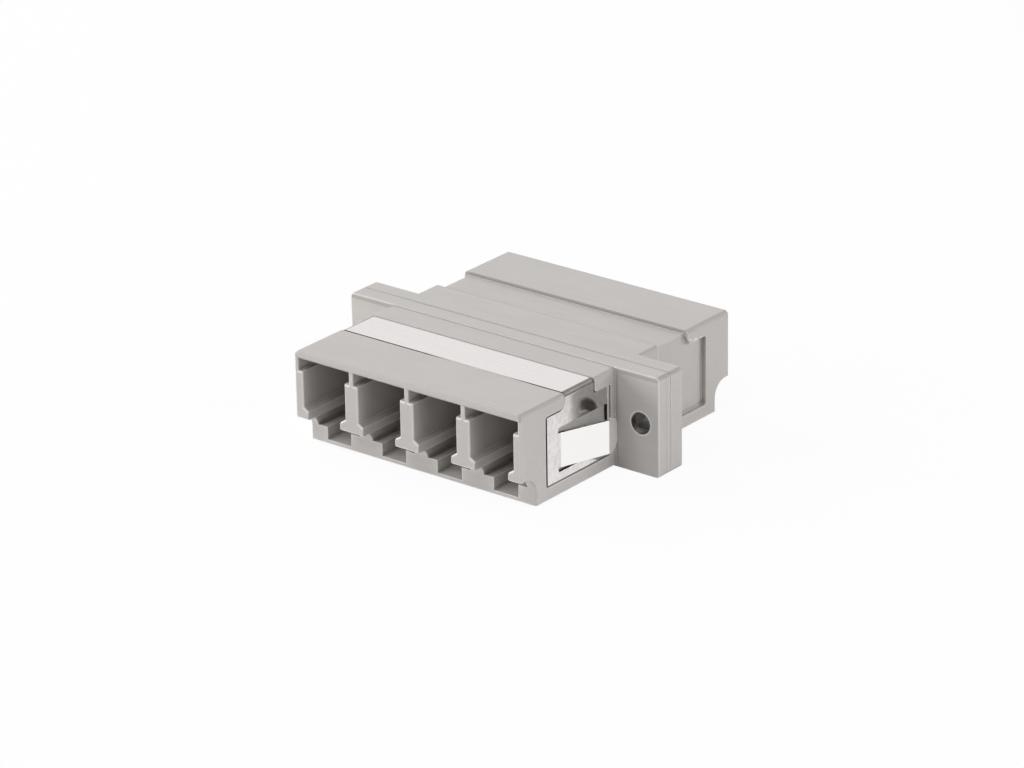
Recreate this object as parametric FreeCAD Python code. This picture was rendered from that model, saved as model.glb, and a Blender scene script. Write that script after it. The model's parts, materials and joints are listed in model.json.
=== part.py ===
import FreeCAD, Part
import math
import os

# Four-port fibre adapter: two identical mouldings welded back to back at a panel flange, four split
# sleeves trapped between them and a sprung sheet clip round the front one. Millimetres and degrees.
# X runs along the row of ports, Y along the fibres with the clip's half towards -Y, and Z is up.
# The origin is at the bottom, on the seam between the two mouldings and in the middle of the row.

os.makedirs("parts", exist_ok=True)

# Row of ports
port_count = 4
port_pitch = 6.25
outer_wall = 0.36  # beside the shoulder of an end port

# Section of one port, from the bottom up
bottom_wall = 0.33
ledge_height = 1.21  # latch ledges, above the notch floor
latch_bay_height = 1.17  # between the ledges and the rails
rail_height = 0.77  # of the edge of each rail that carries the plug
rail_bevel_height = 0.33
cavity_height = 4.6
shoulder_height = 1.2  # top part of the cavity
top_wall = 0.65
notch_width = 2.7
rail_gap = 3.68
cavity_width = 4.76
shoulder_width = 5.8

# Lengths of one moulding along Y, from the seam out
half_length = 15.06
flange_thickness = 1.71
neck_length = 2.87
clip_channel_length = 4.3
septum_thickness = 1.9

# Lower front edge, set back under the rails
lip_setback = 2.0
lip_hollow_radius = 1.5
lip_depth = 3.6  # length of the latch ledges
latch_pocket_length = 4.4

# Flange and its two screw holes
ear_width = 4.7  # of the flange past each side of the body
flange_below = 0.24  # the body's bottom
flange_above = 0.13  # its top
flange_corner_radius = 0.35
flange_edge_chamfer = 0.08
screw_hole_from_body = 2.715
screw_hole_diameter = 2.05
seam_chamfer = 0.08

# Outer edges of the body
top_edge_radius = 0.4
lip_corner_radius = 0.2

# Seat of the clip: a channel over the top that widens to a recess on each side
strap_sunk = 0.02  # top of the clip below the body's top
plate_sunk = 0.12  # its side plates below the body's sides
recess_overhang_fore = 2.72  # past the channel
recess_overhang_aft = 2.21
recess_bottom = 1.34
recess_top = 8.0
recess_corner_radius = 0.25
collar_flare_radius = 0.7
neck_flare_radius = 0.2
shoulder_end_wall = 0.43  # between a port's shoulder and the recess

# Spring clip
sheet = 0.3
clip_gap = 0.09  # round the edges of the sheet
clip_play = 0.2  # more than that before the side plates
clip_seat_gap = 0.06  # under the sheet
clip_bend_radius = 0.14  # inside
window_front_border = 1.6
window_rear_border = 0.3
window_bottom_border = 0.76
window_top_border = 1.58
window_corner_radius = 0.22
slot_run = 0.22  # of the window past the tab's root
slot_below_tab = 0.41
slot_above_tab = 0.51
tab_length = 5.15
tab_angle = 18.5
tab_taper = 0.15  # along the upper edge
tab_curl_length = 1.28
tab_curl_angle = 24.5
tab_bend_radius = 0.45
tab_end_radius = 1.0

# Split alignment sleeves and the tubes that hold them
sleeve_bore = 1.245
sleeve_wall = 0.19
sleeve_length = 6.8
sleeve_slit = 0.2
sleeve_clearance = 0.05  # all round and at each end
holder_wall = 0.6
holder_end_wall = 0.65
ferrule_clearance = 0.06
ferrule_lead_in = 0.25

# Locating pins on the welded faces
pin_diameter = 1.0
pin_length = 0.8
pin_clearance = 0.05

# Heights
body_bottom = flange_below
notch_floor = body_bottom + bottom_wall
ledge_top = notch_floor + ledge_height
rail_bottom = ledge_top + latch_bay_height
rail_edge_top = rail_bottom + rail_height
cavity_bottom = rail_edge_top + rail_bevel_height
cavity_top = cavity_bottom + cavity_height
shoulder_bottom = cavity_top - shoulder_height
body_top = cavity_top + top_wall
flange_top = body_top + flange_above
axis_height = (cavity_bottom + cavity_top) / 2
screw_hole_height = (body_bottom + body_top) / 2
pin_height = (ledge_top + rail_bottom) / 2

# Widths and stations along Y of the moulding that faces -Y
half_width = ((port_count - 1) * port_pitch + shoulder_width) / 2 + outer_wall
flange_half_width = half_width + ear_width
screw_hole_x = half_width + screw_hole_from_body
end_chamfer = outer_wall / 3  # on the end face, outside and round each mouth
seat_top = body_top - sheet - clip_seat_gap - strap_sunk
seat_side = half_width - sheet - clip_seat_gap - plate_sunk
channel_rear = -(flange_thickness + neck_length)
channel_front = channel_rear - clip_channel_length
end_face = -half_length
lip_face = end_face + lip_setback
recess_rear = channel_rear + recess_overhang_aft
recess_front = channel_front - recess_overhang_fore
plate_front = recess_front + clip_gap + clip_play
port_x = [(i - (port_count - 1) / 2) * port_pitch for i in range(port_count)]
beyond = 1.0  # how far a cut runs past what it cuts
tolerance = 1e-4


def point(x, y, z):
    return FreeCAD.Vector(x, y, z)


def block(x, y, z):
    """Box from three (low, high) pairs."""
    size = [high - low for low, high in (x, y, z)]
    return Part.makeBox(*size, point(x[0], y[0], z[0]))


def rod(diameter, y, x=0.0, z=0.0):
    """Cylinder along Y between a (low, high) pair."""
    start = point(x, y[0], z)
    return Part.makeCylinder(diameter / 2, y[1] - y[0], start, point(0, 1, 0))


def prism(corners, travel):
    face = Part.Face(Part.makePolygon(corners + corners[:1]))
    return face.extrude(travel)


def edges_where(shape, test):
    """Edges whose bounding box passes the test."""
    return [edge for edge in shape.Edges if test(edge.BoundBox)]


def near(a, b):
    return abs(a - b) < tolerance


def rounded(shape, radius, test):
    return shape.makeFillet(radius, edges_where(shape, test))


def chamfered(shape, size, test):
    return shape.makeChamfer(size, edges_where(shape, test))


def along(box, axis):
    """True for an edge that runs straight along one axis."""
    sizes = {"X": box.XLength, "Y": box.YLength, "Z": box.ZLength}
    length = sizes.pop(axis)
    return length > tolerance and max(sizes.values()) < tolerance


def body_blank():
    """Outside of the body with its hollowed lower front edge."""
    low = rail_bottom - lip_hollow_radius
    bend = lip_face - lip_hollow_radius
    diagonal = lip_hollow_radius * math.sqrt(0.5)
    corner = point(0, bend + diagonal, low + diagonal)
    hollow = Part.Arc(point(0, lip_face, low), corner, point(0, bend, rail_bottom))
    path = [point(0, bend, rail_bottom), point(0, end_face, rail_bottom),
            point(0, end_face, body_top), point(0, 0, body_top),
            point(0, 0, body_bottom), point(0, lip_face, body_bottom), point(0, lip_face, low)]
    outline = Part.Wire([hollow.toShape()] + Part.makePolygon(path).Edges)
    blank = Part.Face(outline).extrude(point(2 * half_width, 0, 0))
    blank.translate(point(-half_width, 0, 0))

    def lip_corner(box):
        on_side = near(box.XLength, 0) and near(abs(box.XMin), half_width)
        under_step = box.ZMax < rail_bottom + tolerance and box.YMax < lip_face + tolerance
        return on_side and under_step

    def top_side(box):
        return along(box, "Y") and near(box.ZMin, body_top)

    def end_outline(box):
        return near(box.YMax, end_face) and box.ZMax > rail_bottom + lip_corner_radius

    blank = rounded(blank, lip_corner_radius, lip_corner)
    blank = rounded(blank, top_edge_radius, top_side)
    return chamfered(blank, end_chamfer, end_outline)


def clip_seat_core():
    """What the clip wraps: the body's section inside the channel."""
    core = block((-seat_side, seat_side), (end_face - beyond, beyond), (-beyond, seat_top))
    edge_radius = clip_bend_radius - clip_seat_gap
    return rounded(core, edge_radius, lambda box: along(box, "Y") and near(box.ZMin, seat_top))


def clip_outline(gap=0.0, play=0.0):
    """Side view of the clip as a prism across the body, drawn in by a gap all round."""
    fore, aft = channel_front + gap, channel_rear - gap
    low, high = recess_bottom + gap, recess_top - gap
    far_fore, far_aft = recess_front + gap + play, recess_rear - gap
    top = body_top + beyond
    sides = [(far_fore, low), (far_aft, low), (far_aft, high), (aft, high),
             (aft, top), (fore, top), (fore, high), (far_fore, high)]
    reach = half_width + beyond
    plate = prism([point(-reach, y, z) for y, z in sides], point(2 * reach, 0, 0))

    def flare(y):
        return lambda box: along(box, "X") and near(box.YMin, y) and near(box.ZMin, high)

    plate = rounded(plate, collar_flare_radius + gap, flare(fore))
    plate = rounded(plate, neck_flare_radius + gap, flare(aft))
    if recess_corner_radius > gap:
        far = (far_fore, far_aft)
        plate = rounded(plate, recess_corner_radius - gap,
                        lambda box: along(box, "X") and any(near(box.YMin, y) for y in far))
    return plate


def port_cut(x):
    """Everything cut away for the plug and its latch in one port."""
    floor = -septum_thickness
    start = end_face - beyond
    notch, rail, cavity = notch_width / 2, rail_gap / 2, cavity_width / 2
    right = [(notch, notch_floor), (notch, ledge_top), (cavity, ledge_top), (cavity, rail_bottom),
             (rail, rail_bottom), (rail, rail_edge_top), (cavity, cavity_bottom),
             (cavity, cavity_top)]
    outline = right + [(-across, height) for across, height in reversed(right)]
    run = point(0, floor - start, 0)
    cut = prism([point(x + across, start, height) for across, height in outline], run)
    shoulder = shoulder_width / 2
    shoulder_end = recess_front - shoulder_end_wall
    cut = cut.fuse(block((x - shoulder, x + shoulder), (start, shoulder_end),
                         (shoulder_bottom, cavity_top)))
    catch = lip_face + lip_depth
    notch_end = catch + latch_pocket_length
    pocket = block((x - rail, x + rail), (catch, notch_end), (notch_floor, ledge_top))
    keep = block((x - notch, x + notch), (notch_end, floor), (notch_floor, ledge_top))
    return cut.fuse(pocket).cut(keep).removeSplitter()


def sleeve_holder(x):
    """Tube that stands on the septum round one sleeve."""
    reach = sleeve_length / 2 + sleeve_clearance + holder_end_wall
    outer = sleeve_bore + 2 * (sleeve_wall + sleeve_clearance + holder_wall)
    return rod(outer, (-reach, -septum_thickness / 2), x, axis_height)


def sleeve_bore_cut(x):
    """Stepped bore: the sleeve's pocket, then a smaller hole with a lead-in for the ferrule."""
    seat = sleeve_length / 2 + sleeve_clearance
    tip = seat + holder_end_wall
    ferrule_hole = sleeve_bore / 2 + ferrule_clearance
    pocket = rod(sleeve_bore + 2 * (sleeve_wall + sleeve_clearance), (-seat, beyond), x, axis_height)
    hole = rod(2 * ferrule_hole, (-tip - beyond, -seat), x, axis_height)
    lead_in = Part.makeCone(ferrule_hole + ferrule_lead_in, ferrule_hole, ferrule_lead_in,
                            point(x, -tip, axis_height), point(0, 1, 0))
    return pocket.fuse([hole, lead_in])


def flange():
    """Half of the panel flange, with a fine groove where the two halves meet."""
    width = (-flange_half_width, flange_half_width)
    plate = block(width, (-flange_thickness, 0), (0, flange_top))
    plate = rounded(plate, flange_corner_radius, lambda box: along(box, "Y"))
    plate = chamfered(plate, flange_edge_chamfer, lambda box: near(box.YMax, -flange_thickness))
    plate = chamfered(plate, seam_chamfer, lambda box: near(box.YMin, 0))
    through = (-flange_thickness - beyond, beyond)
    return plate.cut([rod(screw_hole_diameter, through, x, screw_hole_height)
                      for x in (-screw_hole_x, screw_hole_x)])


def housing():
    """One moulding, facing -Y. Its twin is the same part turned half a turn about Z."""
    body = body_blank()
    body = body.cut(clip_outline().cut(clip_seat_core()))
    body = body.cut(Part.makeCompound([port_cut(x) for x in port_x]))

    def mouth(box):
        inside = max(-box.XMin, box.XMax) < half_width - outer_wall + tolerance
        above_feet = rail_edge_top - tolerance < box.ZMin and box.ZMax < cavity_top + tolerance
        return near(box.YMax, end_face) and inside and above_feet

    body = chamfered(body, end_chamfer, mouth)
    body = body.fuse([flange()] + [sleeve_holder(x) for x in port_x])
    body = body.cut(Part.makeCompound([sleeve_bore_cut(x) for x in port_x]))
    pin = rod(pin_diameter, (-pin_length, pin_length), port_x[-1], pin_height)
    socket = rod(pin_diameter + 2 * pin_clearance, (-pin_length - pin_clearance, beyond),
                 port_x[0], pin_height)
    return body.fuse(pin).cut(socket).removeSplitter()


def clip_tab():
    """Panel tab of the right-hand side plate: it leans out, and its end is curled back in."""
    inner = seat_side + clip_seat_gap
    root = plate_front + window_front_border + slot_run
    low = recess_bottom + clip_gap + window_bottom_border + slot_below_tab
    high = recess_top - clip_gap - window_top_border - slot_above_tab
    lean = math.radians(tab_angle)
    curl = math.radians(tab_angle - tab_curl_angle)
    middle = inner + sheet / 2
    path = [(middle, root - slot_run - beyond / 2), (middle, root),
            (middle + tab_length * math.sin(lean), root + tab_length * math.cos(lean))]
    path.append((path[2][0] + tab_curl_length * math.sin(curl),
                 path[2][1] + tab_curl_length * math.cos(curl)))
    headings = [0.0, lean, curl]

    def offset_corners(shift):
        """Corners of one face of the bent strip, moved off its middle line."""
        corners = []
        for i, (x, y) in enumerate(path):
            before = headings[max(i - 1, 0)]
            after = headings[min(i, 2)]
            turn = (before + after) / 2
            reach = shift / math.cos((after - before) / 2)
            corners.append(point(x + reach * math.cos(turn), y - reach * math.sin(turn), low))
        return corners

    outline = offset_corners(sheet / 2) + offset_corners(-sheet / 2)[::-1]
    tab = prism(outline, point(0, 0, high - low))
    for x, y in path[1:3]:
        def inside(box, x=x, y=y):
            return along(box, "Z") and math.hypot(box.XMin - x, box.YMin - y) < sheet
        tab = rounded(tab, tab_bend_radius, inside)
    tip_y = path[3][1]

    def tip_corner(box):
        return near(box.ZLength, 0) and box.YMin > tip_y - sheet and box.XLength > sheet / 2

    tab = rounded(tab, tab_end_radius, tip_corner)
    slope = prism([point(0, root, high), point(0, tip_y + beyond, high + beyond),
                   point(0, tip_y + beyond, high - tab_taper)], point(inner + tab_length + beyond, 0, 0))
    return tab.cut(slope)


def retaining_clip():
    """One stamped sheet: a strap over the top and a wide plate with a window and a tab each side."""
    side = seat_side + clip_seat_gap
    top = seat_top + clip_seat_gap
    span = (recess_front, recess_rear)

    def arch(grow, radius):
        shape = block((-side - grow, side + grow), span, (0, top + grow))
        return rounded(shape, radius, lambda box: along(box, "Y") and near(box.ZMin, top + grow))

    sheet_arch = arch(sheet, clip_bend_radius + sheet).cut(arch(0, clip_bend_radius))
    clip = sheet_arch.common(clip_outline(clip_gap, clip_play))
    front = plate_front + window_front_border
    rear = recess_rear - clip_gap - window_rear_border
    low = recess_bottom + clip_gap + window_bottom_border
    high = recess_top - clip_gap - window_top_border
    reach = half_width + beyond
    window = block((-reach, reach), (front, rear), (low, high))
    window = rounded(window, window_corner_radius, lambda box: along(box, "X"))
    tab = clip_tab()
    other_tab = tab.mirror(point(0, 0, 0), point(1, 0, 0))
    return clip.cut(window).fuse([tab, other_tab]).removeSplitter()


def alignment_sleeve(x):
    """Split sleeve with its slit upwards."""
    ends = (-sleeve_length / 2, sleeve_length / 2)
    ring = rod(sleeve_bore + 2 * sleeve_wall, ends, x, axis_height)
    ring = ring.cut(rod(sleeve_bore, ends, x, axis_height))
    slit = block((x - sleeve_slit / 2, x + sleeve_slit / 2), ends,
                 (axis_height, axis_height + sleeve_bore))
    return ring.cut(slit)


def write(name, shape):
    shape.exportStep(os.path.join("parts", name + ".step"))


front_housing = housing()
rear_housing = front_housing.copy()
rear_housing.rotate(point(0, 0, 0), point(0, 0, 1), 180)
write("front_housing", front_housing)
write("rear_housing", rear_housing)
write("retaining_clip", retaining_clip())
for number, x in enumerate(port_x, start=1):
    write(f"alignment_sleeve_{number}", alignment_sleeve(x))
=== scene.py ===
import json
import math

import bpy
from mathutils import Matrix, Vector


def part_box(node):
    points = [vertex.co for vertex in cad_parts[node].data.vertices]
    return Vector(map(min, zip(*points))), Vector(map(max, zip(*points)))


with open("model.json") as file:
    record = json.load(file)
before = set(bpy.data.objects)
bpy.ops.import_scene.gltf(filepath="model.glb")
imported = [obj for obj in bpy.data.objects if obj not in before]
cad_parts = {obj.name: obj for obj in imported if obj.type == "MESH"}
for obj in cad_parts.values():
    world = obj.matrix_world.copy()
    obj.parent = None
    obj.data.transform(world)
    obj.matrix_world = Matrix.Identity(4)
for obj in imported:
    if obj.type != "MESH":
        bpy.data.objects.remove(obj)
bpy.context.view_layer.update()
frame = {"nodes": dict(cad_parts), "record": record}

nodes = frame["nodes"]
mounts = {mount["name"]: mount for mount in frame["record"]["mounts"]}

mmPerMetre = 1000.0
# widths of the blends at the borders of marks, narrow to wide: in millimetres for a place, and plain
# numbers for the way a face looks
fine, crisp, medium, soft = 0.02, 0.04, 0.05, 0.1
# how far a face looks along an axis, from 0 to 1, when it lies flat across it
nearlyFlat, flat = 0.8, 0.9
bevelSamples = 6
creaseSamples = 8
edgeTurn = 0.12  # how far the rounded normal turns at the middle of an edge


def report(stage):
    print("scene:", stage)


report("frame loaded with " + ", ".join(sorted(nodes)))


def corners(node):
    # lowest and highest corner of a piece, in millimetres
    return [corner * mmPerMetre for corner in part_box(node)]


class Signal:
    # one number running through a material: + and - and * add its Math nodes
    def __init__(self, recipe, socket):
        self.recipe = recipe
        self.socket = socket

    def maths(self, operation, *terms, clamp=False):
        settings = {"operation": operation, "use_clamp": clamp}
        return self.recipe.add("ShaderNodeMath", settings, dict(enumerate(terms)))

    def __add__(self, other):
        return self.maths("ADD", self, other)

    def __radd__(self, other):
        return self.maths("ADD", other, self)

    def __sub__(self, other):
        return self.maths("SUBTRACT", self, other)

    def __rsub__(self, other):
        return self.maths("SUBTRACT", other, self)

    def __mul__(self, other):
        return self.maths("MULTIPLY", self, other)

    def __rmul__(self, other):
        return self.maths("MULTIPLY", other, self)

    def __abs__(self):
        return self.maths("ABSOLUTE", self)

    def between(self, low, high):
        # 0 below low, 1 above high, and an even climb from one to the other
        return self.maths("DIVIDE", self - low, high - low, clamp=True)

    def above(self, level, blend=medium):
        # 0 up to the level and 1 past it, with a short climb
        return self.between(level, level + blend)

    def below(self, level, blend=medium):
        return 1 - self.above(level, blend)

    def atMost(self, other):
        return self.maths("MINIMUM", self, other)

    def atLeast(self, other):
        return self.maths("MAXIMUM", self, other)

    def power(self, other):
        return self.maths("POWER", self, other)

    def fraction(self):
        return self.maths("FRACT", self)


def distance(across, along):
    return (across * across + along * along).power(0.5)


class Recipe:
    # a material, or the world, and the one way nodes are added to it
    def __init__(self, owner):
        owner.use_nodes = True
        self.owner = owner
        self.tree = owner.node_tree
        self.tree.nodes.clear()

    def add(self, kind, settings=None, inputs=None, output=0):
        node = self.tree.nodes.new(kind)
        for name, value in (settings or {}).items():
            setattr(node, name, value)
        for name, value in (inputs or {}).items():
            if isinstance(value, Signal):
                self.tree.links.new(value.socket, node.inputs[name])
            else:
                node.inputs[name].default_value = value
        return Signal(self, node.outputs[output]) if node.outputs else None

    def place(self, scale):
        # where a point is on the piece, with each axis multiplied by its own factor
        spot = self.add("ShaderNodeTexCoord", output="Object")
        return self.add("ShaderNodeMapping", {}, {"Vector": spot, "Scale": scale})

    def split(self, vector):
        return [self.add("ShaderNodeSeparateXYZ", {}, {"Vector": vector}, axis) for axis in "XYZ"]

    def millimetres(self):
        # X, Y and Z of a point, as three numbers
        return self.split(self.place((mmPerMetre, mmPerMetre, mmPerMetre)))

    def facing(self):
        # how far a face looks along X, Y and Z, either way
        return [abs(part) for part in self.split(self.add("ShaderNodeNewGeometry", output="True Normal"))]

    def noise(self, scale, detail=2.0, roughness=0.5):
        inputs = {"Vector": self.place(scale), "Scale": 1.0, "Detail": detail, "Roughness": roughness}
        return self.add("ShaderNodeTexNoise", {"noise_dimensions": "3D"}, inputs)

    def mixColours(self, share, first, second):
        # sockets 6 and 7 of a Mix node are its two colours
        return self.add("ShaderNodeMix", {"data_type": "RGBA"}, {0: share, 6: first, 7: second}, 2)

    def rounded(self, radius):
        return self.add("ShaderNodeBevel", {"samples": bevelSamples}, {"Radius": radius})

    def edges(self, radius):
        # 0 on flat faces, rising to 1 near the middle of an edge
        sharp = self.add("ShaderNodeNewGeometry", output="Normal")
        inputs = {0: self.rounded(radius), 1: sharp}
        along = self.add("ShaderNodeVectorMath", {"operation": "DOT_PRODUCT"}, inputs, "Value")
        return (1 - along).between(0.0, edgeTurn)

    def openness(self, reach):
        # 1 where nothing of the piece stands within reach of the face, less in a crease
        settings = {"samples": creaseSamples, "only_local": True}
        return self.add("ShaderNodeAmbientOcclusion", settings, {"Distance": reach}, "AO")

    def lookedAt(self):
        # 1 for what the eye sees, straight, mirrored or through glass, and 0 for light on its way
        rays = [self.add("ShaderNodeLightPath", output="Is " + kind + " Ray")
                for kind in ("Camera", "Glossy", "Transmission")]
        return (rays[0] + rays[1] + rays[2]).atMost(1.0)

    def finish(self, shader):
        world = isinstance(self.owner, bpy.types.World)
        kind = "ShaderNodeOutputWorld" if world else "ShaderNodeOutputMaterial"
        self.add(kind, {}, {"Surface": shader})
        return self.owner


def colour(red, green, blue):
    return (red, green, blue, 1.0)


housingLow, housingHigh = corners("front_housing")
screws = mounts["panel_screws"]
firstPort, secondPort = mounts["front_port_1"]["pos_m"], mounts["front_port_2"]["pos_m"]

# matte light grey plastic: a spark-eroded skin, faint flow lines along the row of ports, painted highlights
# on the edges, painted shade in the ports and creases, the seam's dark line, rubbed spots with painted
# glints on the empty seat and ejector marks underneath
moulding = {
    "colour": colour(0.572, 0.545, 0.524),
    "darkTone": colour(0.540, 0.514, 0.492),
    "edgeTone": colour(0.860, 0.836, 0.812),
    "chamferTone": colour(0.620, 0.596, 0.575),
    "rimTone": colour(0.760, 0.736, 0.712),
    "shadeTone": colour(0.400, 0.380, 0.360),
    "seamTone": colour(0.300, 0.284, 0.268),
    "deepTone": colour(0.425, 0.400, 0.378),
    "creaseTone": colour(0.190, 0.176, 0.165),
    "holeTone": colour(0.090, 0.080, 0.074),
    "scuffTone": colour(0.930, 0.925, 0.910),
    # how much of its tone each mark gets
    "stepShare": 0.75,
    "creaseShare": 0.75,
    "cornerShare": 0.45,
    "flangeCornerShare": 0.80,
    "brightShare": 0.70,
    "mouthShare": 0.25,
    "wornShare": 0.95,
    "browShare": 0.65,
    "seamShare": 0.45,
    "seamOnTopShare": 0.65,
    "toolLineShare": 0.25,
    "scuffShare": 0.90,
    "pinRimShare": 0.50,
    "oilThinning": 0.75,
    # the values of a pattern, or of the way a face looks, at which each mark starts and is full
    "toneSpread": (0.38, 0.62),
    "creaseSpread": (0.22, 0.55),
    "roundingSpread": (0.08, 0.25),
    "chamferSpread": (0.2, 0.4),
    "speckleSpread": (0.50, 0.56),
    "oilSpread": (0.44, 0.60),
    "wallSpread": (0.3, 0.5),
    # the skin, in metres and waves per metre
    "roughness": 0.46,
    "roughGrain": 0.16,
    "roughClouds": 0.12,
    "sunkGloss": 0.10,
    "rubbedGloss": 0.15,
    "oilGloss": 0.18,
    "specular": 0.42,
    "relief": 0.35,
    "grainHeight": 0.6,
    "flowHeight": 0.25,
    "sunkHeight": 4.0,
    "lineHeight": 3.0,
    "oilHeight": 12.0,
    "grainPerMetre": (14000.0, 14000.0, 14000.0),
    "grainDepth": 0.0000035,
    "flowPerMetre": (160.0, 2600.0, 2600.0),
    "cloudsPerMetre": (190.0, 190.0, 190.0),
    "specklePerMetre": (4200.0, 4200.0, 4200.0),
    "smearsPerMetre": (1100.0, 700.0, 1100.0),
    "edgeRadius": 0.00012,
    "wornRadius": 0.00017,
    "creaseReach": 0.0007,
    # where things are, in millimetres, mostly a little short of the face or edge that is meant
    "endFace": -housingLow[1] - 0.18,
    "flangeEnd": housingHigh[0] - 0.085,
    "flangeCorner": housingHigh[0] - 0.535,
    "ridgeBottom": housingHigh[2] - 0.28,
    "seamOnTop": housingHigh[2] - 0.23,
    "seamHalfWidth": 0.06,
    "toolLine": -0.62,
    "toolLineHalfWidth": 0.03,
    "bodySide": 12.5,
    "besideBody": 12.7,
    "cavityHalfWidth": 12.0,
    "cavityTop": 8.66,
    "cavityFloor": 0.5,
    "railBottom": 3.9,
    "lowDepths": (9.5, 12.9),  # from the seam: the ports are dark up to the first, pale past the second
    "highDepths": (12.9, 14.75),  # the same above the rails' undersides
    "seatTop": 8.93,
    "seatBlend": 0.03,
    "collarEdge": 8.93,
    "browBottom": 8.65,
    "brightTop": 8.80,
    "browDepth": 14.5,
    "besideScuff": 12.05,
    "scuffHalfHeight": 0.10,
    "scuffHalfLength": 0.9,
    "scuffFade": (0.16, 0.3),
    "holeX": screws["dims"]["spacing_x_mm"] / 2,
    "holeZ": screws["pos_m"][2] * mmPerMetre,
    "holeRadius": screws["dims"]["hole_r_mm"],
    "rimOffset": 0.07,
    "wallOffset": 0.005,
    "wallBlend": 0.015,
    "scuffMiddle": (10.0, 8.12),
    "scuffSlope": 0.16,
    "portPitch": (secondPort[0] - firstPort[0]) * mmPerMetre,
    "ejectorRow": 7.6,
    "ejectorRadius": 0.9,
    "sunkInset": 0.03,
    "underside": 0.4,
}


def withinPorts(x):
    return abs(x).below(moulding["cavityHalfWidth"], soft)


def shadeHollows(plastic, spot, face, shade):
    x, y, z = spot
    # painted shade inside the ports, darker with depth, and sooner above the rails' undersides
    upright = z.above(moulding["cavityFloor"], soft) * z.below(moulding["cavityTop"])
    cavity = z.above(moulding["railBottom"], soft) * (1 - abs(y).between(*moulding["highDepths"]))
    paintedPortShade = cavity.atLeast(1 - abs(y).between(*moulding["lowDepths"])) * upright * withinPorts(x)
    shade = plastic.mixColours(paintedPortShade, shade, moulding["deepTone"])
    # above the seat, faces that look along the fibres get painted shade: the collars' low steps and the
    # top of the flange
    paintedStepShade = face[1].above(nearlyFlat, soft) * z.above(moulding["seatTop"], moulding["seatBlend"])
    paintedStepShade = paintedStepShade * abs(y).below(moulding["collarEdge"])
    shade = plastic.mixColours(paintedStepShade * moulding["stepShare"], shade, moulding["shadeTone"])
    # painted shade in the creases
    paintedCreaseShade = (1 - plastic.openness(moulding["creaseReach"])).between(*moulding["creaseSpread"])
    return plastic.mixColours(paintedCreaseShade * moulding["creaseShare"], shade, moulding["creaseTone"])


def wearEdges(plastic, spot, face, shade):
    x, y, z = spot
    # painted shade on the rounded edges between the top and the sides, stronger near the flange's ends
    paintedRoundingShade = (face[0] * face[2]).between(*moulding["roundingSpread"])
    extra = moulding["flangeCornerShare"] - moulding["cornerShare"]
    share = abs(x).above(moulding["flangeCorner"], soft) * extra + moulding["cornerShare"]
    shade = plastic.mixColours(paintedRoundingShade * share, shade, moulding["shadeTone"])
    # painted highlights on the chamfers round the mouths and the flange, brighter on the flange's ends and
    # inside the body's outline
    outer = abs(y).above(moulding["endFace"]).atLeast(abs(x).above(moulding["besideBody"], soft))
    chamfers = ((face[0] + face[2]) * face[1]).between(*moulding["chamferSpread"]) * outer
    shade = plastic.mixColours(chamfers, shade, moulding["chamferTone"])
    bright = abs(x).below(moulding["bodySide"] - soft) * z.below(moulding["brightTop"])
    bright = chamfers * bright.atLeast(abs(x).above(moulding["flangeEnd"], fine))
    shade = plastic.mixColours(bright * moulding["brightShare"], shade, moulding["edgeTone"])
    # painted shade on the mouths' end faces
    paintedMouthShade = abs(y).above(moulding["endFace"]) * face[1].above(flat)
    shade = plastic.mixColours(paintedMouthShade * moulding["mouthShare"], shade, moulding["shadeTone"])
    # painted highlights on the edges, but neither on the flange's low ridge across the top nor on the brow
    # of the mouths
    edge = plastic.edges(moulding["wornRadius"]) * (1 - chamfers)
    ridge = z.above(moulding["ridgeBottom"]) * abs(x).below(moulding["bodySide"] - soft, soft * 2)
    brow = z.above(moulding["browBottom"]) * abs(y).above(moulding["browDepth"])
    paintedEdgeHighlight = edge * (1 - ridge.atLeast(brow))
    shade = plastic.mixColours(paintedEdgeHighlight * moulding["wornShare"], shade, moulding["edgeTone"])
    # the brow's edges and chamfers get painted shade instead
    paintedBrowShade = edge.atLeast(chamfers) * brow
    return plastic.mixColours(paintedBrowShade * moulding["browShare"], shade, moulding["shadeTone"])


def drawLines(plastic, spot, shade):
    # the seam round the flange and the faint line that the tool left beside it
    x, y, z = spot
    half = moulding["seamHalfWidth"]
    seam = abs(y).below(half, crisp) * (1 - withinPorts(x))
    seamOnTop = abs(y).below(half + crisp, crisp) * z.above(moulding["seamOnTop"], soft)
    toolLine = abs(y - moulding["toolLine"]).below(moulding["toolLineHalfWidth"])
    toolLine = toolLine * abs(x).above(moulding["flangeEnd"])
    lines = (seam * moulding["seamShare"]).atLeast(seamOnTop * moulding["seamOnTopShare"])
    lines = lines.atLeast(toolLine * moulding["toolLineShare"])
    return plastic.mixColours(lines, shade, moulding["seamTone"]), lines


def shadeHoles(plastic, spot, face, shade):
    # the screw holes: a painted highlight on a rim round each, and painted shade down inside, thinned in
    # patches
    x, z = spot[0], spot[2]
    radius = moulding["holeRadius"]
    fromHole = distance(abs(x) - moulding["holeX"], z - moulding["holeZ"])
    paintedRimHighlight = abs(fromHole - (radius + moulding["rimOffset"])).below(medium) * face[1].above(nearlyFlat, soft)
    wall = 1 - face[1].between(*moulding["wallSpread"])
    inHole = fromHole.below(radius + moulding["wallOffset"], moulding["wallBlend"]) * wall
    holePatches = plastic.noise(moulding["smearsPerMetre"], detail=3.0, roughness=0.6)
    paintedHoleShade = inHole * (1 - holePatches.between(*moulding["oilSpread"]) * moulding["oilThinning"])
    shade = plastic.mixColours(paintedRimHighlight, shade, moulding["rimTone"])
    return plastic.mixColours(paintedHoleShade, shade, moulding["holeTone"]), paintedHoleShade, holePatches * inHole


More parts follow.
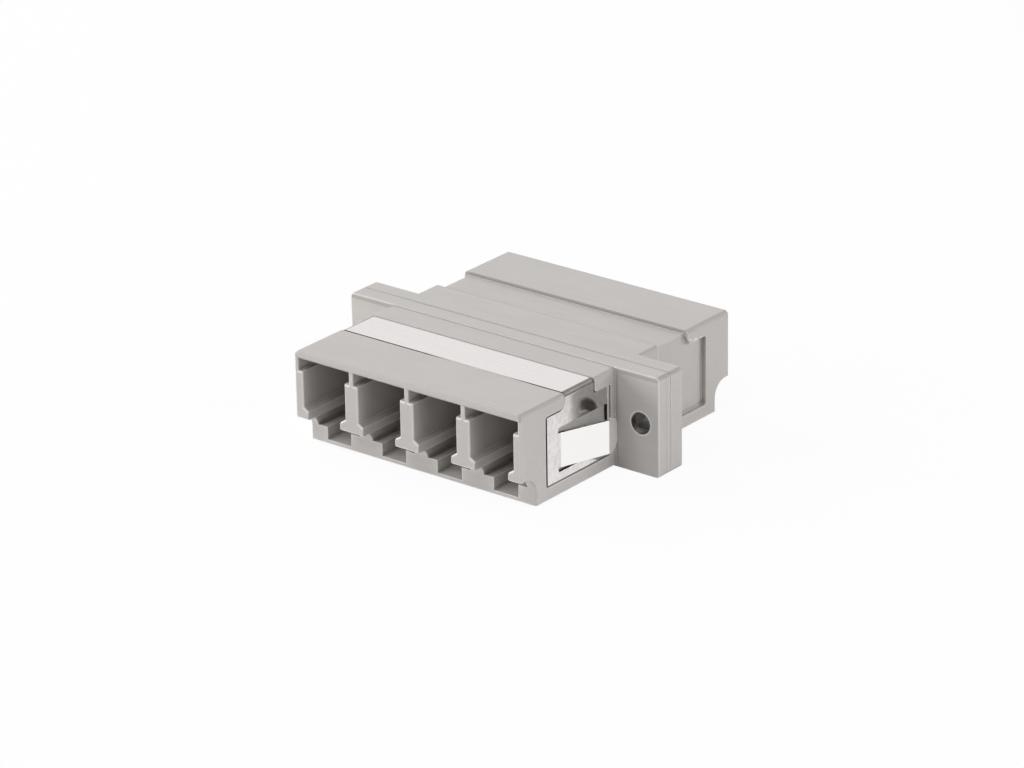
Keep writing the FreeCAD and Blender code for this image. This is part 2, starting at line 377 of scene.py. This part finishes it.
def rubSeat(plastic, spot, shade):
    # rubbed spots over the top edge of the empty seat: glossier, with painted glints
    x, y, z = spot
    middleY, middleZ = moulding["scuffMiddle"]
    lean = z - middleZ + (y - middleY) * moulding["scuffSlope"]
    fadeUp, fadeAlong = moulding["scuffFade"]
    nearEdge = abs(lean).below(moulding["scuffHalfHeight"], fadeUp)
    nearEdge = nearEdge * abs(y - middleY).below(moulding["scuffHalfLength"], fadeAlong)
    speckle = plastic.noise(moulding["specklePerMetre"]).between(*moulding["speckleSpread"])
    rubbedAndGlinting = speckle * nearEdge * abs(x).above(moulding["besideScuff"])
    return plastic.mixColours(rubbedAndGlinting * moulding["scuffShare"], shade, moulding["scuffTone"]), rubbedAndGlinting


def sinkPins(plastic, spot, face, shade):
    # the ejector pins stand under the middle of each port, and left sunk marks with a painted highlight on
    # their rims
    x, y, z = spot
    pitch = moulding["portPitch"]
    radius = moulding["ejectorRadius"]
    fromPinX = ((x * (1 / pitch)).fraction() - 0.5) * pitch
    fromPin = distance(fromPinX, abs(y) - moulding["ejectorRow"])
    bottom = face[2].above(nearlyFlat, soft) * z.below(moulding["underside"], soft)
    sunk = bottom * fromPin.below(radius - moulding["sunkInset"], moulding["sunkInset"] * 2)
    paintedRimHighlight = bottom * abs(fromPin - radius).below(fine)
    return plastic.mixColours(paintedRimHighlight * moulding["pinRimShare"], shade, moulding["edgeTone"]), sunk


def mouldingMaterial():
    plastic = Recipe(bpy.data.materials.new("mouldedGreyPlastic"))
    spot, face = plastic.millimetres(), plastic.facing()
    grain = plastic.noise(moulding["grainPerMetre"], detail=3.0, roughness=0.6)
    flow = plastic.noise(moulding["flowPerMetre"], detail=3.0)
    clouds = plastic.noise(moulding["cloudsPerMetre"], detail=4.0)

    tone = (clouds * 0.5 + flow * 0.5).between(*moulding["toneSpread"])
    shade = plastic.mixColours(tone, moulding["darkTone"], moulding["colour"])
    shade = shadeHollows(plastic, spot, face, shade)
    shade = wearEdges(plastic, spot, face, shade)
    shade, lines = drawLines(plastic, spot, shade)
    shade, paintedHoleShade, holePatchRelief = shadeHoles(plastic, spot, face, shade)
    shade, rubbedAndGlinting = rubSeat(plastic, spot, shade)
    shade, sunk = sinkPins(plastic, spot, face, shade)

    height = grain * moulding["grainHeight"] + flow * moulding["flowHeight"]
    height = height - sunk * moulding["sunkHeight"] - lines * moulding["lineHeight"]
    height = height + holePatchRelief * moulding["oilHeight"]
    bump = plastic.add("ShaderNodeBump", {}, {
        "Strength": moulding["relief"],
        "Distance": moulding["grainDepth"],
        "Height": height,
        "Normal": plastic.rounded(moulding["edgeRadius"]),
    })
    rough = moulding["roughness"] + (grain - 0.5) * moulding["roughGrain"]
    rough = rough + (clouds - 0.5) * moulding["roughClouds"] - sunk * moulding["sunkGloss"]
    shader = plastic.add("ShaderNodeBsdfPrincipled", {}, {
        "Base Color": shade,
        "Roughness": rough - rubbedAndGlinting * moulding["rubbedGloss"] - paintedHoleShade * moulding["oilGloss"],
        "Normal": bump,
        "Specular IOR Level": moulding["specular"],
    })
    return plastic.finish(shader)


clipLow, clipHigh = corners("retaining_clip")

# bright rolled spring sheet: a dull strap with faint rolling grain and a painted dark reflection on its
# bends, mirror-like side plates with a fine haze, polished tabs, and cut edges and gap lines painted black
# as shade
clipSheet = {
    "plateTone": colour(0.775, 0.750, 0.740),
    "hazeTone": colour(0.665, 0.642, 0.628),
    "strapTone": colour(0.765, 0.738, 0.728),
    "strapGrain": colour(0.735, 0.708, 0.698),
    "tabTone": colour(0.925, 0.915, 0.905),
    "curlTone": colour(0.580, 0.560, 0.545),
    "bendTone": colour(0.190, 0.175, 0.166),
    "lowBendTone": colour(0.060, 0.055, 0.052),
    "stampedTone": colour(0.040, 0.036, 0.034),
    # how far each place is spared the painted shade on the cut edges, and how much of it the strap's rear
    # edge gets as a painted shadow
    "tabSpared": 0.35,
    "polishSpared": 0.60,
    "strapRearShare": 0.15,
    "bendBreaks": 0.08,
    # the values of a pattern, or of the way a face looks, at which each tone starts and is full
    "plateSpread": (0.42, 0.58),
    "strapSpread": (0.40, 0.60),
    "drawnSpread": (0.30, 0.62),
    "cutSpread": (0.05, 0.12),
    # the skin, in metres and waves per metre
    "roughness": 0.14,
    "roughHaze": 0.06,
    "roughStrap": 0.10,
    "roughBend": 0.2,
    "roughDull": 0.4,
    "roughStamped": 0.35,
    "dullMetal": 0.5,
    "relief": 0.2,
    "plateRolling": 0.15,
    "mottleHeight": 0.4,
    "rollingPerMetre": (90.0, 7000.0, 90.0),
    "rollingDepth": 0.0000006,
    "hazePerMetre": (380.0, 380.0, 380.0),
    "mottlePerMetre": (2100.0, 2100.0, 1500.0),
    "drawnPerMetre": (2600.0, 900.0, 2600.0),
    "edgeRadius": 0.00004,
    # where things are, in millimetres
    "strapUnderside": clipHigh[2] - 0.42,
    "bendMiddle": clipHigh[2] - 0.23,
    "bendStart": 12.06,
    "bendBlend": 0.08,
    "bendMiddleBlend": 0.06,
    "plateFace": 12.53,
    "plateFront": clipLow[1],
    "plateTop": 7.91,
    "strapFront": -8.79,
    "strapRear": -4.77,
    "flareRadius": 0.79,
    "burr": 0.115,
    "polishedFrom": (-2.8, 0.4),
    "polishedTo": (6.0, 9.0),
    "rearBorder": -2.80,
    "curlStart": -4.6,
}


def paintCutEdgeShade(spot, face, onStrap, onTab):
    # 1 on the edges that the die cut, rougher and painted black as shade, and on painted shadow lines beside
    # the gaps, less on the tabs and along a paler stretch of the strap
    x, y, z = spot
    # cut faces look along neither the plates' nor the strap's thickness
    cut = (1 - face[0].between(*clipSheet["cutSpread"])) * (1 - onStrap * face[2].above(flat))
    # and a painted shadow line runs along the front of the strap, round the flare and down each side plate
    radius = clipSheet["flareRadius"]
    behind = (y - clipSheet["strapFront"] + radius).atLeast(0.0)
    under = (clipSheet["plateTop"] + radius - z).atLeast(0.0)
    fromFlare = distance(behind, under) - radius
    fromFront = y - clipSheet["plateFront"] + clipSheet["burr"] * 0.5
    burr = fromFlare.atMost(fromFront).below(clipSheet["burr"] - fine, crisp)
    paleStretch = onStrap * x.between(*clipSheet["polishedFrom"]) * (1 - x.between(*clipSheet["polishedTo"]))
    spared = (1 - onTab * clipSheet["tabSpared"]) * (1 - paleStretch * clipSheet["polishSpared"])
    # a painted shadow along the strap's rear edge
    strapRear = onStrap * y.above(clipSheet["strapRear"], crisp)
    return (cut.atLeast(burr) * spared).atLeast(strapRear * clipSheet["strapRearShare"])


def sheetMaterial():
    steel = Recipe(bpy.data.materials.new("rolledSpringSheet"))
    spot, face = steel.millimetres(), steel.facing()
    x, y, z = spot
    rolling = steel.noise(clipSheet["rollingPerMetre"], detail=4.0, roughness=0.6)
    haze = steel.noise(clipSheet["hazePerMetre"], detail=4.0)
    mottle = steel.noise(clipSheet["mottlePerMetre"], detail=3.0, roughness=0.6)
    onStrap = z.above(clipSheet["strapUnderside"])
    onTab = abs(x).above(clipSheet["plateFace"], crisp)

    plate = (haze * 0.4 + mottle * 0.6).between(*clipSheet["plateSpread"])
    shade = steel.mixColours(plate, clipSheet["hazeTone"], clipSheet["plateTone"])
    strap = (rolling * 0.6 + mottle * 0.4).between(*clipSheet["strapSpread"])
    strap = steel.mixColours(strap, clipSheet["strapGrain"], clipSheet["strapTone"])
    shade = steel.mixColours(onStrap, shade, strap)
    shade = steel.mixColours(onTab, shade, clipSheet["tabTone"])

    # the outer skin of each bend, drawn over the tool, is rougher and gets a painted dark reflection,
    # darkest on its lower part
    bend = abs(x).above(clipSheet["bendStart"], clipSheet["bendBlend"])
    bend = bend * z.above(clipSheet["strapUnderside"], clipSheet["bendBlend"])
    drawn = steel.noise(clipSheet["drawnPerMetre"], detail=3.0, roughness=0.6)
    drawn = drawn.between(*clipSheet["drawnSpread"])
    upper = z.above(clipSheet["bendMiddle"], clipSheet["bendMiddleBlend"])
    bendTone = steel.mixColours(upper, clipSheet["lowBendTone"], clipSheet["bendTone"])
    shade = steel.mixColours(bend * (1 - drawn * clipSheet["bendBreaks"]), shade, bendTone)

    # cut edges and gap lines painted black as shade
    cutEdgesAndPaintedShade = paintCutEdgeShade(spot, face, onStrap, onTab)
    shade = steel.mixColours(cutEdgesAndPaintedShade, shade, clipSheet["stampedTone"])

    # the tab's curled end and the narrow border behind the window are dull
    curl = onTab * y.above(clipSheet["curlStart"], soft * 2)
    shade = steel.mixColours(curl, shade, clipSheet["curlTone"])
    rearBorder = y.above(clipSheet["rearBorder"], crisp) * (1 - onStrap)
    dull = (rearBorder * (1 - onTab)).atLeast(curl)

    onPlate = clipSheet["plateRolling"]
    height = rolling * (onPlate + onStrap * (1 - onPlate))
    height = height + mottle * clipSheet["mottleHeight"] + drawn * bend
    bump = steel.add("ShaderNodeBump", {}, {
        "Strength": clipSheet["relief"],
        "Distance": clipSheet["rollingDepth"],
        "Height": height,
        "Normal": steel.rounded(clipSheet["edgeRadius"]),
    })
    rough = clipSheet["roughness"] + (haze - 0.5) * clipSheet["roughHaze"]
    rough = rough + onStrap * clipSheet["roughStrap"] + bend * clipSheet["roughBend"]
    rough = rough + dull * clipSheet["roughDull"]
    shader = steel.add("ShaderNodeBsdfPrincipled", {}, {
        "Base Color": shade,
        "Metallic": 1 - dull * clipSheet["dullMetal"],
        "Roughness": rough + cutEdgesAndPaintedShade * clipSheet["roughStamped"],
        "Normal": bump,
    })
    return steel.finish(shader)


# ground white ceramic, polished inside and out
sleeveCeramic = {
    "colour": colour(0.88, 0.87, 0.83),
    "warmTone": colour(0.80, 0.78, 0.73),
    "roughness": 0.16,
    "cloudsPerMetre": (700.0, 700.0, 700.0),
    "grindingPerMetre": (300.0, 22000.0, 300.0),
    "grindingDepth": 0.0000008,
    "relief": 0.2,
    "cloudSpread": (0.3, 0.7),
    "roughGrinding": 0.12,
    "coat": 0.25,
}


def ceramicMaterial():
    ceramic = Recipe(bpy.data.materials.new("groundCeramic"))
    grinding = ceramic.noise(sleeveCeramic["grindingPerMetre"], detail=3.0)
    clouds = ceramic.noise(sleeveCeramic["cloudsPerMetre"], detail=3.0)
    clouds = clouds.between(*sleeveCeramic["cloudSpread"])
    bump = ceramic.add("ShaderNodeBump", {}, {
        "Strength": sleeveCeramic["relief"],
        "Distance": sleeveCeramic["grindingDepth"],
        "Height": grinding,
    })
    shader = ceramic.add("ShaderNodeBsdfPrincipled", {}, {
        "Base Color": ceramic.mixColours(clouds, sleeveCeramic["warmTone"], sleeveCeramic["colour"]),
        "Roughness": sleeveCeramic["roughness"] + (grinding - 0.5) * sleeveCeramic["roughGrinding"],
        "Normal": bump,
        "Coat Weight": sleeveCeramic["coat"],
    })
    return ceramic.finish(shader)


finishes = {
    "front_housing": mouldingMaterial(),
    "retaining_clip": sheetMaterial(),
    "alignment_sleeve_1": ceramicMaterial(),
}
finishes["rear_housing"] = finishes["front_housing"]
for number in range(2, 5):
    finishes["alignment_sleeve_%d" % number] = finishes["alignment_sleeve_1"]
for name, material in finishes.items():
    for slot in nodes[name].material_slots:
        slot.material = material
report("materials on " + str(len(finishes)) + " nodes")


# the floor, the sky and the softboxes
studio = {
    "floorSize": 6.0,
    "floorColour": colour(0.96, 0.96, 0.96),
    "white": colour(1.0, 1.0, 1.0),
    "whiteShare": 0.94,  # of the floor that is plain white to the eye; the rest keeps the shadow
    "skyStrength": 0.02,
    "lampDistance": 0.7,
    "lampSize": 0.35,
    "lamps": {  # degrees round from the front towards the left, degrees up, watts
        "lowFrontLeft": (45, 15, 2.25),
        "left": (90, 25, 2.35),
        "highLeft": (100, 55, 0.93),
        "highFront": (0, 55, 1.50),
        "right": (-90, 25, 1.47),
        "lowBackRight": (-125, 20, 1.20),
    },
}


def floorMaterial():
    floor = Recipe(bpy.data.materials.new("paleFloor"))
    lit = floor.add("ShaderNodeBsdfDiffuse", {}, {"Color": studio["floorColour"]})
    white = floor.add("ShaderNodeEmission", {}, {"Color": studio["white"], "Strength": 1.0})
    share = floor.lookedAt() * studio["whiteShare"]
    return floor.finish(floor.add("ShaderNodeMixShader", {}, {0: share, 1: lit, 2: white}))


def makeFloor():
    bpy.ops.object.select_all(action="DESELECT")
    bpy.ops.mesh.primitive_plane_add(size=studio["floorSize"], location=(0, 0, 0))
    floor = bpy.context.object
    floor.name = "floor"
    floor.data.materials.append(floorMaterial())


def makeWorld():
    world = bpy.data.worlds.new("whiteTent")
    bpy.context.scene.world = world
    sky = Recipe(world)
    inputs = {"Color": studio["white"], "Strength": studio["skyStrength"]}
    dim = sky.add("ShaderNodeBackground", {}, inputs)
    white = sky.add("ShaderNodeBackground", {}, {"Color": studio["white"], "Strength": 1.0})
    sky.finish(sky.add("ShaderNodeMixShader", {}, {0: sky.lookedAt(), 1: dim, 2: white}))


def makeSoftbox(name, turn, rise, watts):
    turn, rise = math.radians(turn), math.radians(rise)
    spot = Vector((-math.sin(turn) * math.cos(rise), -math.cos(turn) * math.cos(rise), math.sin(rise)))
    spot = spot * studio["lampDistance"]
    bpy.ops.object.select_all(action="DESELECT")
    bpy.ops.object.light_add(type="AREA", location=spot)
    lamp = bpy.context.object
    lamp.name = name + "Softbox"
    lamp.data.shape = "SQUARE"
    lamp.data.size = studio["lampSize"]
    lamp.data.energy = watts
    lamp.rotation_euler = (-spot).to_track_quat("-Z", "Y").to_euler()


view = {
    "position": (0.25623, -0.32101, 0.17464),
    "direction": (-0.57649, 0.72158, -0.38339),
    "roll": -0.9491,  # degrees
    "lens": 175.893,
    "sensorWidth": 36.0,
    "clipStart": 0.01,
    "clipEnd": 20.0,
}


def makeCamera():
    camera = bpy.data.objects.new("camera", bpy.data.cameras.new("camera"))
    bpy.context.scene.collection.objects.link(camera)
    camera.data.sensor_width = view["sensorWidth"]
    camera.data.lens = view["lens"]
    camera.data.clip_start = view["clipStart"]
    camera.data.clip_end = view["clipEnd"]
    aim = Vector(view["direction"]).to_track_quat("-Z", "Y").to_matrix().to_4x4()
    turn = Matrix.Rotation(math.radians(view["roll"]), 4, "Z")
    camera.matrix_world = Matrix.Translation(view["position"]) @ aim @ turn
    bpy.context.scene.camera = camera


makeFloor()
makeWorld()
for name, (turn, rise, watts) in studio["lamps"].items():
    makeSoftbox(name, turn, rise, watts)
makeCamera()
bpy.context.scene.view_settings.view_transform = "Standard"
report("floor, light and camera")
